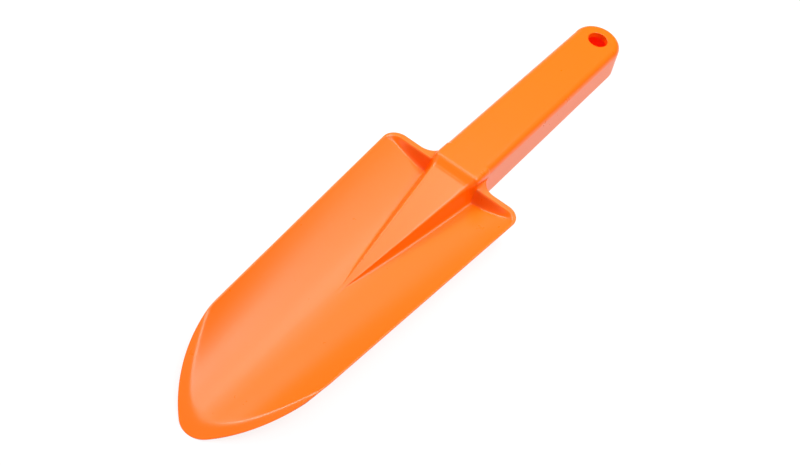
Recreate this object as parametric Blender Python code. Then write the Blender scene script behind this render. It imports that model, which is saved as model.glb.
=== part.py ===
"""Camp trowel, 280 mm long: a scooped blade, a hollow wedge that stiffens its neck, and a hollow
channel handle with a hanging hole. The real trowel is one moulding in one orange plastic. It is
modelled here region by region, each region a solid that seats against the next.

Frame: +X runs from the handle to the nose, +Z up, and y = 0 is the mirror plane. The origin is under
the middle of the trowel's length, on the surface that it lies on. HEEL_X is the blade's heel, where
the wall at the back of the scoop meets the rim.
"""

import math

import bmesh
import bpy

MM = 0.001

# Overall
BLADE_LENGTH = 162.8 * MM  # heel to nose tip
HANDLE_LENGTH = 117.2 * MM  # heel to the handle's round end, at its foot
SEAT_GAP = 0.3 * MM  # clearance between regions that seat on each other

# Blade
RIM_HEIGHT = 12.3 * MM  # level of the rim over the surface that the trowel lies on
HEEL_HALF_WIDTH = 31 * MM
SIDE_TAPER = math.radians(2.3)  # each straight side closes in towards the nose
BLADE_WALL = 2.5 * MM
HEEL_DEPTH = 5.1 * MM  # from the rim down to the floor, at the heel
SINK_LENGTH = 125 * MM  # the floor goes on sinking over this distance
FLANGE_WIDTH = 4.2 * MM  # flat strip behind the heel
HEEL_WALL_RUN = 1.8 * MM  # how far forward the heel wall leans at its foot
SHOULDER_RADIUS = 6.3 * MM
NECK_FILLET_RADIUS = 7 * MM  # between the flange and the handle, seen from above
NOSE_SIDE_RADIUS = 67 * MM
NOSE_TIP_RADIUS = 9 * MM
NOSE_BEVEL_ANGLE = math.radians(16)
NOSE_EDGE = 0.3 * MM  # what the bevel leaves of the wall at the tip
RIM_LAND = 0.5 * MM  # narrow level top of the rim
EDGE_FACE = 0.6 * MM  # upright part of the sides' edge, under the rim
EDGE_LEAN = math.radians(28)  # below that, the edge leans in, square to the sheet

# Handle, its widths measured at its foot
HANDLE_FRONT_HEIGHT = 16.7 * MM
HANDLE_END_HEIGHT = 13.7 * MM
HANDLE_HALF_WIDTH = 10.9 * MM
HANDLE_END_HALF_WIDTH = 10.1 * MM
HANDLE_DRAFT = math.radians(1.5)
HANDLE_EDGE_RADIUS = 2.0 * MM
HANDLE_WALL = 2.2 * MM
HANDLE_TOP_WALL = 2.6 * MM
HANDLE_SWEEP_LENGTH = 18 * MM  # the walls' lower edges rise to the blade's belly over this distance
HOLE_DIAMETER = 8.2 * MM
HOLE_FROM_END = 9.7 * MM

# Wedge between handle and blade
STEP_BACK = 1.7 * MM  # the handle's flat top ends this far behind the heel
STEP_LENGTH = 5.5 * MM
STEP_DROP = 1.6 * MM
WEDGE_HALF_WIDTH = 8.2 * MM  # of its top, at the step's foot
WEDGE_LENGTH = 69.5 * MM  # heel to the point where it runs out on the floor
WEDGE_POINT_HALF_WIDTH = 0.5 * MM
WEDGE_SIDE_ANGLE = math.radians(24)  # from upright
WEDGE_EDGE_RADIUS = 1.6 * MM
WEDGE_WALL = 2.2 * MM

# Cross ribs in the handle's channel
RIB_COUNT = 3
RIB_THICKNESS = 1.6 * MM
RIB_DEPTH = 8.0 * MM
RIB_FIRST = 28 * MM  # from the heel
RIB_PITCH = 27 * MM

# How finely the round stretches are cut
ACROSS_STEPS = 24
ALONG_STEP = 6 * MM
ARC_STEP = math.radians(7.5)
STEP_STATIONS = 5
EDGE_STEPS = 4
SIDE_STEPS = 6
SWEEP_STEPS = 8

# Places along X that the sizes give
HEEL_X = (HANDLE_LENGTH - BLADE_LENGTH) / 2
NOSE_X = HEEL_X + BLADE_LENGTH
END_X = HEEL_X - HANDLE_LENGTH
END_CENTRE_X = END_X + HANDLE_END_HALF_WIDTH
SEAM_X = HEEL_X - STEP_BACK  # the handle region ends and the wedge region starts
STEP_END_X = SEAM_X + STEP_LENGTH
POINT_X = HEEL_X + WEDGE_LENGTH
DRAFT = math.tan(HANDLE_DRAFT)
CLEAR = 2 * (HANDLE_FRONT_HEIGHT + HEEL_HALF_WIDTH)  # a reach that is past every face


def plastic(name, colour, roughness):
    material = bpy.data.materials.new(name)
    material.use_nodes = True
    shader = material.node_tree.nodes["Principled BSDF"]
    shader.inputs["Base Color"].default_value = (*colour, 1.0)
    shader.inputs["Roughness"].default_value = roughness
    shader.inputs["Metallic"].default_value = 0.0
    return material


def loft(name, rings, material=None):
    """A closed solid swept through rings of points, each ring with the same number of them."""
    bm = bmesh.new()
    cap = bm.faces.new([bm.verts.new(point) for point in rings[0]])
    for step, ring in enumerate(rings[1:]):
        before = [vert.co.copy() for vert in cap.verts]
        swept = bmesh.ops.extrude_face_region(bm, geom=[cap], use_keep_orig=step == 0)
        if step > 0:
            bmesh.ops.delete(bm, geom=[cap], context="FACES_ONLY")
        cap = next(item for item in swept["geom"] if isinstance(item, bmesh.types.BMFace))
        moved = {tuple(co): point for co, point in zip(before, ring)}
        for vert in cap.verts:
            vert.co = moved[tuple(vert.co)]
    bmesh.ops.recalc_face_normals(bm, faces=bm.faces)
    mesh = bpy.data.meshes.new(name)
    bm.to_mesh(mesh)
    bm.free()
    solid = bpy.data.objects.new(name, mesh)
    bpy.context.scene.collection.objects.link(solid)
    if material:
        mesh.materials.append(material)
        mesh.shade_smooth()
        mesh.set_sharp_from_angle(angle=math.radians(30))
    return solid


def combine(solid, operation, other):
    """Cut or clip a solid with a helper that stays out of the render."""
    modifier = solid.modifiers.new(other.name, "BOOLEAN")
    modifier.operation = operation
    modifier.solver = "EXACT"
    modifier.object = other
    other.hide_render = True
    other.display_type = "WIRE"


def turns(start, stop):
    """Angles from one to another in even steps, both ends included."""
    steps = max(2, math.ceil(abs(stop - start) / ARC_STEP))
    return [start + (stop - start) * step / steps for step in range(steps + 1)]


def arc(centre, radius, start, stop):
    """Points on an arc in the plane."""
    return [
        (centre[0] + radius * math.cos(turn), centre[1] + radius * math.sin(turn))
        for turn in turns(start, stop)
    ]


def stations(start, stop):
    """Evenly spaced places along X, both ends included."""
    steps = max(1, round((stop - start) / ALONG_STEP))
    return [start + (stop - start) * step / steps for step in range(steps + 1)]


def at_level(outline, z):
    return [(x, y, z) for x, y in outline]


def mixed(start, stop, share):
    return start + (stop - start) * share


# Blade: its floor and belly, and its outline seen from above


def side_half_width(x):
    return HEEL_HALF_WIDTH - (x - HEEL_X) * math.tan(SIDE_TAPER)


def valley_height(x):
    """Top of the floor on the centreline: it sinks, and then runs level with its belly on z = 0."""
    along = min(max((x - HEEL_X) / SINK_LENGTH, 0.0), 1.0)
    return mixed(BLADE_WALL, RIM_HEIGHT - HEEL_DEPTH, (1 - along) ** 2)


def floor_height(x, y):
    """Top of the scooped floor, a parabola across that rises to the rim's level land."""
    return mixed(valley_height(x), RIM_HEIGHT, min((y / (side_half_width(x) - RIM_LAND)) ** 2, 1.0))


def belly_height(x, y):
    """Underside of the scoop, a wall below the floor."""
    return floor_height(max(x, HEEL_X), y) - BLADE_WALL


def side_line():
    """The left straight side: the angle of its normal, and its distance from the origin."""
    turn = math.pi / 2 - SIDE_TAPER
    return turn, HEEL_X * math.cos(turn) + HEEL_HALF_WIDTH * math.sin(turn)


def nose_outline():
    """Left half of the nose: a wide arc off the straight side, and the tip arc that it runs into."""
    side_turn, side_reach = side_line()
    tip_x = NOSE_X - NOSE_TIP_RADIUS
    # The wide arc's centre is its radius inside the side, and the tip arc touches it from within.
    across_gap = side_reach - NOSE_SIDE_RADIUS - tip_x * math.cos(side_turn)
    along_gap = math.sqrt((NOSE_SIDE_RADIUS - NOSE_TIP_RADIUS) ** 2 - across_gap**2)
    centre_x = tip_x + across_gap * math.cos(side_turn) - along_gap * math.sin(side_turn)
    centre_y = across_gap * math.sin(side_turn) + along_gap * math.cos(side_turn)
    tip_turn = math.atan2(-centre_y, tip_x - centre_x)
    wide = arc((centre_x, centre_y), NOSE_SIDE_RADIUS, side_turn, tip_turn)
    return wide[:-1] + arc((tip_x, 0.0), NOSE_TIP_RADIUS, tip_turn, 0.0)


def blade_outline():
    """The whole outline: neck fillets, flange, shoulders, straight sides and nose."""
    back = HEEL_X - FLANGE_WIDTH
    # The fillet touches the handle's side itself, and the handle's notch then trims it.
    neck = handle_side(back - NECK_FILLET_RADIUS, RIM_HEIGHT)
    fillet = arc(
        (back - NECK_FILLET_RADIUS, neck + NECK_FILLET_RADIUS), NECK_FILLET_RADIUS, -math.pi / 2, 0.0
    )
    # The shoulder arc touches the flange's back edge and the straight side.
    side_turn, side_reach = side_line()
    centre_x = back + SHOULDER_RADIUS
    centre_y = (side_reach - SHOULDER_RADIUS - centre_x * math.cos(side_turn)) / math.sin(side_turn)
    shoulder = arc((centre_x, centre_y), SHOULDER_RADIUS, math.pi, side_turn)
    left = [(fillet[0][0], 0.0)] + fillet + shoulder + nose_outline()
    return left + [(x, -y) for x, y in reversed(left[1:-1])]


def across(x):
    """Places across the sheet, which is wider than the blade and clipped to its outline later."""
    scoop = side_half_width(x) - RIM_LAND
    inner = [scoop * (2 * step / ACROSS_STEPS - 1) for step in range(ACROSS_STEPS + 1)]
    outer = side_half_width(x) + SHOULDER_RADIUS
    return [-outer, *inner, outer]


def sheet_ring(x, top_is_floor, under_is_belly):
    """One upright section of the sheet."""
    top = [(x, y, floor_height(x, y) if top_is_floor else RIM_HEIGHT) for y in across(x)]
    flange = RIM_HEIGHT - BLADE_WALL
    under = [(x, y, belly_height(x, y) if under_is_belly else flange) for y in across(x)]
    return top + under[::-1]


def build_blade(material):
    wall_foot = HEEL_X - BLADE_WALL + HEEL_WALL_RUN
    rings = [
        sheet_ring(HEEL_X - CLEAR, False, False),
        sheet_ring(wall_foot - HEEL_WALL_RUN, False, False),
        sheet_ring(wall_foot, False, True),
        sheet_ring(HEEL_X, False, True),
    ]
    rings += [sheet_ring(x, True, True) for x in stations(HEEL_X + HEEL_WALL_RUN, NOSE_X + ALONG_STEP)]
    blade = loft("blade", rings, material)
    outline = blade_outline()
    plan = loft("blade_plan", [at_level(outline, -CLEAR), at_level(outline, CLEAR)])
    combine(blade, "INTERSECT", plan)
    combine(blade, "INTERSECT", side_trim())
    combine(blade, "DIFFERENCE", nose_bevel_cutter())
    notch = [stem_ring(x, SEAT_GAP) for x in [HEEL_X - CLEAR, *stem_stations(POINT_X + SEAT_GAP)]]
    combine(blade, "DIFFERENCE", loft("stem_notch", notch))
    return blade


def side_trim():
    """The room between the two planes that the sides' edges lean along."""
    rings = []
    for x in (HEEL_X - CLEAR, NOSE_X + CLEAR):
        halves = [
            (side_half_width(x) + (z - RIM_HEIGHT + EDGE_FACE) * math.tan(EDGE_LEAN), z)
            for z in (-BLADE_WALL, RIM_HEIGHT + BLADE_WALL)
        ]
        rings.append([(x, -y, z) for y, z in halves] + [(x, y, z) for y, z in reversed(halves)])
    return loft("side_trim", rings)


def nose_bevel_cutter():
    """A block whose sloping underside planes the nose down to its edge."""
    rise = math.tan(NOSE_BEVEL_ANGLE)
    profile = [
        (NOSE_X - CLEAR, NOSE_EDGE + CLEAR * rise),
        (NOSE_X + CLEAR, NOSE_EDGE - CLEAR * rise),
        (NOSE_X + CLEAR, CLEAR),
    ]
    return loft("nose_bevel", [[(x, side, z) for x, z in profile] for side in (-CLEAR, CLEAR)])


# Handle: a channel, open below, with a round end


def handle_half_width(x):
    """Half-width at the foot."""
    return mixed(HANDLE_HALF_WIDTH, HANDLE_END_HALF_WIDTH, (HEEL_X - x) / (HEEL_X - END_CENTRE_X))


def handle_side(x, z):
    """Half-width of the drafted side at a height."""
    return handle_half_width(x) - z * DRAFT


def handle_top(x):
    return mixed(HANDLE_FRONT_HEIGHT, HANDLE_END_HEIGHT, (SEAM_X - x) / (SEAM_X - END_X))


def level(z):
    return lambda x: z


def below_top(drop):
    return lambda x: handle_top(x) - drop


def handle_ring(front, grow, height):
    """The handle's plan at a height that may slope along X, its sides moved out by grow."""
    half = handle_half_width(front)
    plan = [(front, half, math.pi / 2), (front, -half, -math.pi / 2)]
    radius = HANDLE_END_HALF_WIDTH
    plan[1:1] = [
        (END_CENTRE_X + radius * math.cos(turn), radius * math.sin(turn), turn)
        for turn in turns(math.pi / 2, 3 * math.pi / 2)
    ]
    ring = []
    for x, y, turn in plan:
        out = grow - height(x) * DRAFT
        at_x = x + out * math.cos(turn)
        ring.append((at_x, y + out * math.sin(turn), height(at_x)))
    return ring


def wall_sweep_cutter():
    """Clears the walls' lower edges where they rise from z = 0 to the blade's belly."""
    back = HEEL_X - HANDLE_SWEEP_LENGTH
    rise = belly_height(HEEL_X, HANDLE_HALF_WIDTH)
    curve = [step / SWEEP_STEPS for step in range(SWEEP_STEPS + 1)]
    profile = [(mixed(back, SEAM_X, share), rise * share**2) for share in curve]
    profile += [(SEAM_X, -CLEAR), (back, -CLEAR)]
    return loft("wall_sweep", [[(x, side, z) for x, z in profile] for side in (CLEAR, -CLEAR)])


def build_handle(material):
    front = SEAM_X - SEAT_GAP
    rings = [handle_ring(front, 0.0, level(0.0))]
    for step in range(EDGE_STEPS + 1):
        turn = math.pi / 2 * step / EDGE_STEPS
        inset = HANDLE_EDGE_RADIUS * (1 - math.cos(turn))
        rings.append(handle_ring(front, -inset, below_top(HANDLE_EDGE_RADIUS * (1 - math.sin(turn)))))
    handle = loft("handle_shell", rings, material)
    ends = (level(-CLEAR), below_top(HANDLE_TOP_WALL))
    hollow = [handle_ring(HEEL_X, -HANDLE_WALL, height) for height in ends]
    combine(handle, "DIFFERENCE", loft("handle_hollow", hollow))
    ring = arc((END_X + HOLE_FROM_END, 0.0), HOLE_DIAMETER / 2, 0.0, 2 * math.pi)[:-1]
    combine(handle, "DIFFERENCE", loft("hanging_hole", [at_level(ring, -CLEAR), at_level(ring, CLEAR)]))
    combine(handle, "DIFFERENCE", wall_sweep_cutter())
    return handle


# Stem: the handle's section, the step, and the hollow wedge that carries its walls into the blade


def stem_section(x):
    """The stem's top height and half-width, how its sides lean, and its top edges' radius."""
    step_foot = (
        HANDLE_FRONT_HEIGHT - STEP_DROP,
        WEDGE_HALF_WIDTH,
        math.tan(WEDGE_SIDE_ANGLE),
        WEDGE_EDGE_RADIUS,
    )
    if x > STEP_END_X:
        narrow = WEDGE_POINT_HALF_WIDTH / WEDGE_HALF_WIDTH
        point = (
            valley_height(POINT_X),
            WEDGE_POINT_HALF_WIDTH,
            math.tan(WEDGE_SIDE_ANGLE),
            WEDGE_EDGE_RADIUS * narrow,
        )
        share = (x - STEP_END_X) / (POINT_X - STEP_END_X)
        return [mixed(a, b, share) for a, b in zip(step_foot, point)]
    back = min(x, SEAM_X)
    handle = (handle_top(back), handle_side(back, handle_top(back)), DRAFT, HANDLE_EDGE_RADIUS)
    share = max(x - SEAM_X, 0.0) / STEP_LENGTH
    return [mixed(a, b, share) for a, b in zip(handle, step_foot)]


def stem_stations(stop):
    """Places along the stem from the seam, close together down the step."""
    step = [SEAM_X + STEP_LENGTH * share / STEP_STATIONS for share in range(STEP_STATIONS)]
    return step + stations(STEP_END_X, stop)


def stem_ring(x, grow=0.0, rounded=True):
    """One upright section, moved out by grow: a flat top, rounded edges and leaning sides.

    It goes on down past the belly, which cuts it off.
    """
    top, half, lean, radius = stem_section(x)
    side_turn = math.atan(lean)
    half += grow * (1 / math.cos(side_turn) - lean)
    top += grow
    foot = -BLADE_WALL
    edge = [(x, half, top)]
    if rounded:
        radius += grow
        reach = radius * math.tan((math.pi / 2 - side_turn) / 2)
        angles = [mixed(side_turn, math.pi / 2, step / EDGE_STEPS) for step in range(EDGE_STEPS + 1)]
        edge = [
            (x, half - reach + radius * math.cos(turn), top - radius + radius * math.sin(turn))
            for turn in angles
        ]
    levels = [mixed(foot, edge[0][2], step / SIDE_STEPS) for step in range(SIDE_STEPS)]
    left = [(x, half + (top - z) * lean, z) for z in levels] + edge
    return left + [(x, -y, z) for _, y, z in reversed(left)]


def belly_cutter():
    """Everything below the blade's belly."""
    rings = []
    for x in [SEAM_X - SEAT_GAP, HEEL_X, *stations(STEP_END_X, POINT_X + ALONG_STEP)]:
        ring = [(x, y, belly_height(x, y)) for y in across(x)]
        rings.append(ring + [(x, ring[-1][1], -2 * CLEAR), (x, ring[0][1], -2 * CLEAR)])
    return loft("under_belly", rings)


def build_wedge(material):
    wedge = loft("neck_wedge", [stem_ring(x) for x in stem_stations(POINT_X)], material)
    # The hollow ends where the wedge gets too narrow for two walls.
    share = (WEDGE_HALF_WIDTH - WEDGE_WALL) / (WEDGE_HALF_WIDTH - WEDGE_POINT_HALF_WIDTH)
    places = [SEAM_X - SEAT_GAP, *stem_stations(mixed(STEP_END_X, POINT_X, share))]
    hollow = [stem_ring(x, -WEDGE_WALL, rounded=False) for x in places]
    combine(wedge, "DIFFERENCE", loft("wedge_hollow", hollow))
    combine(wedge, "DIFFERENCE", belly_cutter())
    return wedge


def build_ribs(material):
    """Cross ribs that keep the channel's walls apart."""
    for number in range(RIB_COUNT):
        middle = HEEL_X - RIB_FIRST - number * RIB_PITCH
        rings = []
        for x in (middle - RIB_THICKNESS / 2, middle + RIB_THICKNESS / 2):
            top = handle_top(x) - HANDLE_TOP_WALL - SEAT_GAP
            left = [(handle_side(x, z) - HANDLE_WALL - SEAT_GAP, z) for z in (top, top - RIB_DEPTH)]
            rings.append([(x, y, z) for y, z in left] + [(x, -y, z) for y, z in reversed(left)])
        loft(f"cross_rib_{number + 1}", rings, material)


def main():
    for old in list(bpy.data.objects):
        bpy.data.objects.remove(old, do_unlink=True)
    orange = (1.0, 0.19, 0.02)
    build_blade(plastic("blade_orange", orange, 0.36))
    build_wedge(plastic("wedge_orange", orange, 0.36))
    build_handle(plastic("handle_orange", orange, 0.36))
    build_ribs(plastic("rib_orange", orange, 0.5))


main()
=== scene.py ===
"""A moulded plastic camp trowel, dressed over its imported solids.

The real trowel is one moulding, so one seamless skin stands for the blade, the neck wedge and the
handle's channel. Half of the skin is laid out as a grid of stations, from the handle's round end
to the nose. A station is one line from the middle of the trowel out to its outline and back
underneath, and all have the same count of points. The half is mirrored, the hanging hole is
bridged, and its lips are bevelled. Lengths are in metres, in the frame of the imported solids: +X to
the nose and +Z up.
"""

import sys
import enum
import logging
import math
from collections.abc import Callable, Iterable, Sequence
from dataclasses import dataclass, field

import bmesh
import bpy
from mathutils import Matrix, Vector


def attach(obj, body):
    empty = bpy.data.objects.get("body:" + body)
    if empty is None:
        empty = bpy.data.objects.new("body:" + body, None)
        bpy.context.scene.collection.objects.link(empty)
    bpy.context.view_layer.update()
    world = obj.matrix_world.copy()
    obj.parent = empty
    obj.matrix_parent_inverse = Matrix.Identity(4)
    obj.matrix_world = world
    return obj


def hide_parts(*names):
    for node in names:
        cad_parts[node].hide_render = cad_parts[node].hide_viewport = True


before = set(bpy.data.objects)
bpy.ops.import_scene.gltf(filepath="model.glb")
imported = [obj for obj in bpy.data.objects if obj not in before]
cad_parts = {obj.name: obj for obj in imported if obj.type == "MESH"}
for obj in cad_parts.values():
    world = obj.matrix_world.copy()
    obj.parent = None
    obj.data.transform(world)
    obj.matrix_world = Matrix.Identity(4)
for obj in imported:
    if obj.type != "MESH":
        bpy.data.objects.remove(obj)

MM = 0.001
MICRON = 0.001 * MM
LOG = logging.getLogger("trowel")
NO_LENGTH = 1e-7  # metres; anything shorter counts as this long, so that it can divide
LEAST_SETBACK = 0.08 * MM  # the shortest run that an arc takes from each side of its corner
MOST_SETBACK = 0.46  # the largest share of a straight stretch that one arc may take
SHARPEST_TURN = 2.8  # radians; a sharper corner is rounded as if it turned this far
SHARPEST_FOLD = -0.99  # cosine of the sharpest fold that an arc is drawn round
Pair = tuple[float, float]
Colour = tuple[float, float, float]
Reals = tuple[float, ...]
Counts = tuple[int, ...]
Surface = Callable[[float, float], float]


def facing(turn: float) -> Vector:
    """The direction seen from above that an angle gives."""
    return Vector((math.cos(turn), math.sin(turn)))


def on_middle(x: float) -> Vector:
    """A point seen from above, on the trowel's middle line."""
    return Vector((x, 0.0))


def mixed(start: float, stop: float, share: float) -> float:
    """The value a share of the way from start to stop."""
    return start + (stop - start) * share


def clamped(value: float, low: float = 0.0, high: float = 1.0) -> float:
    """The value, held between two limits."""
    return min(max(value, low), high)


def even(start: float, stop: float, steps: int) -> list[float]:
    """Values from start to stop in even steps, both ends included."""
    return [mixed(start, stop, step / steps) for step in range(steps + 1)]


def eased(along: float, lead: float, tail: float) -> float:
    """A ramp from 0 to 1 whose two corners are rounded.

    Args:
        along: Place on the ramp, 0 where its straight part starts and 1 where it ends.
        lead: Half-length of the rounding at the start.
        tail: Half-length of the rounding at the end.

    Returns:
        The ramp's height.
    """
    if along <= -lead:
        return 0.0
    if along < lead:
        return (along + lead) ** 2 / (4 * lead)
    if along <= 1 - tail:
        return along
    if along < 1 + tail:
        return 1 - (1 + tail - along) ** 2 / (4 * tail)
    return 1.0


def soft_lowest(first: float, second: float, width: float) -> float:
    """The lower of two heights, blended where they lie within a width of each other."""
    near = max(width - abs(first - second), 0.0) / width
    return min(first, second) - near * near * width / 4


def rounded_line(
    points: Sequence[Pair],
    radii: Sequence[float],
    runs: Sequence[int],
    turns: Sequence[int],
    least: float = LEAST_SETBACK,
) -> list[Pair]:
    """A line through corners, each rounded by an arc, with a fixed count of points.

    Args:
        points: The two ends and the corners between them.
        radii: Radius at each corner.
        runs: Steps along each straight stretch.
        turns: Steps round each corner.
        least: Shortest run that an arc takes from each side of its corner.

    Returns:
        The points, from the first end to the last.
    """
    ways = [Vector(b) - Vector(a) for a, b in zip(points, points[1:])]
    lengths = [max(way.length, NO_LENGTH) for way in ways]
    setbacks = [0.0]
    for corner, radius in enumerate(radii):
        before, after = ways[corner] / lengths[corner], ways[corner + 1] / lengths[corner + 1]
        turn = math.acos(clamped(before.dot(after), -1.0, 1.0))
        setback = max(radius * math.tan(min(turn, SHARPEST_TURN) / 2), least)
        room = MOST_SETBACK * min(lengths[corner], lengths[corner + 1])
        setbacks.append(min(setback, room))
    setbacks.append(0.0)
    line = [tuple(points[0])]
    for stretch, way in enumerate(ways):
        unit = way / lengths[stretch]
        start = Vector(points[stretch]) + unit * setbacks[stretch]
        stop = Vector(points[stretch + 1]) - unit * setbacks[stretch + 1]
        steps = runs[stretch]
        line += [tuple(start.lerp(stop, step / steps)) for step in range(1, steps + 1)]
        if stretch < len(radii):
            following = ways[stretch + 1] / lengths[stretch + 1]
            leave = Vector(points[stretch + 1]) + following * setbacks[stretch + 1]
            line += conic(stop, Vector(points[stretch + 1]), leave, turns[stretch])
    return line


def conic(start: Vector, corner: Vector, stop: Vector, steps: int) -> list[Pair]:
    """A circle's arc that touches both sides of a corner.

    Args:
        start: Where the arc leaves the first side.
        corner: The corner.
        stop: Where the arc meets the second side.
        steps: Steps along the arc.

    Returns:
        The arc's points, without its first.
    """
    before, after = (corner - start), (stop - corner)
    spread = max(before.length * after.length, NO_LENGTH**2)
    weight = math.sqrt((1 + clamped(before.dot(after) / spread, SHARPEST_FOLD, 1.0)) / 2)
    found = []
    for step in range(1, steps + 1):
        t = step / steps
        parts = ((1 - t) ** 2, 2 * weight * t * (1 - t), t * t)
        place = (start * parts[0] + corner * parts[1] + stop * parts[2]) / sum(parts)
        found.append(tuple(place))
    return found


@dataclass(frozen=True)
class Scoop:
    """The blade's sheet: its outline from above, and the heights of its floor and underside."""

    heel_x: float = -22.8 * MM
    nose_x: float = 140.0 * MM
    rim_height: float = 12.3 * MM
    heel_half_width: float = 30.99 * MM
    side_taper: float = math.radians(2.3)
    wall: float = 2.5 * MM
    heel_depth: float = 7.0 * MM  # from the rim down to the floor
    sink_length: float = 125.0 * MM  # the floor goes on sinking over this distance
    sink_power: float = 1.3
    flange_width: float = 4.2 * MM
    heel_wall_run: float = 1.8 * MM
    heel_back: float = 1.8 * MM  # how far behind the heel its wall starts
    heel_lip: float = 0.22  # rounding at the wall's top, as a share of its run
    side_lip: float = 0.1  # the same where the wall runs out at the sides
    heel_foot: float = 0.3  # rounding at the wall's foot, as a share of its run
    under_back: float = 3.2 * MM  # how far behind the heel the wall starts underneath
    under_rounding: float = 0.3
    corner_radius: float = 5.0 * MM  # where the heel wall turns into the sides, from above
    corner_share: float = 0.98  # how much of that arc is used
    shoulder_radius: float = 6.3 * MM
    neck_radius: float = 7.0 * MM
    nose_side_radius: float = 67.0 * MM
    nose_tip_radius: float = 9.0 * MM
    bevel_rise: float = math.tan(math.radians(16.0))
    bevel_blend: float = 0.6 * MM
    nose_edge: float = 0.3 * MM  # what the bevel leaves of the wall at the tip
    land: float = 0.5 * MM  # narrow level top of the rim
    land_blend: float = 0.02  # rounding where the floor meets it, as a share of the rise
    edge_face: float = 0.6 * MM  # upright part of the edge, under the rim
    edge_lean: float = math.tan(math.radians(28.0))  # of the rest of the edge

    @property
    def back(self) -> float:
        """Where the flange's back edge runs across."""
        return self.heel_x - self.flange_width

    def side(self, x: float) -> float:
        """Half-width of the straight sides."""
        return self.heel_half_width - (x - self.heel_x) * math.tan(self.side_taper)

    def valley(self, x: float) -> float:
        """Height of the floor on the centreline."""
        along = clamped((x - self.heel_x) / self.sink_length)
        return mixed(self.wall, self.rim_height - self.heel_depth, (1 - along) ** self.sink_power)

    def floor(self, x: float, y: float) -> float:
        """Height of the scooped floor, a parabola across that rises to the rim."""
        share = (y / (self.side(x) - self.land)) ** 2
        return mixed(self.valley(x), self.rim_height, soft_lowest(share, 1.0, self.land_blend))

    def bevel(self, x: float) -> float:
        """Height of the plane that thins the nose."""
        return self.nose_edge + (self.nose_x - x) * self.bevel_rise

    def corner(self, x: float, y: float) -> float:
        """How far the heel wall curves forward into the side, seen from above.

        Args:
            x: Place along the trowel.
            y: Place across it.

        Returns:
            The distance, 0 where the wall runs straight across.
        """
        radius = self.corner_radius
        centre = self.side(x) - self.land - radius
        past = clamped(abs(y) - centre, 0.0, self.corner_share * radius)
        return radius - math.sqrt(radius**2 - past**2)

    def top(self, x: float, y: float) -> float:
        """Height of the sheet's upper face, flange and heel wall included.

        Args:
            x: Place along the trowel.
            y: Place across it.

        Returns:
            The height.
        """
        drop = self.rim_height - self.floor(max(x, self.heel_x), y)
        along = (x - self.heel_x + self.heel_back - self.corner(x, y)) / self.heel_wall_run
        lip = mixed(self.heel_lip, self.side_lip, clamped(1 - drop / self.heel_depth))
        height = self.rim_height - drop * eased(along, lip, self.heel_foot)
        return soft_lowest(height, self.bevel(x), self.bevel_blend)

    def belly(self, x: float, y: float) -> float:
        """Height of the scoop's underside."""
        return self.floor(max(x, self.heel_x), y) - self.wall

    def under(self, x: float, y: float) -> float:
        """Height of the sheet's lower face, flange included.

        Args:
            x: Place along the trowel.
            y: Place across it.

        Returns:
            The height.
        """
        flange = self.rim_height - self.wall
        along = (x - self.heel_x + self.under_back) / self.heel_wall_run
        down = eased(along, self.under_rounding, self.under_rounding)
        return mixed(flange, self.belly(x, y), down)


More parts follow.
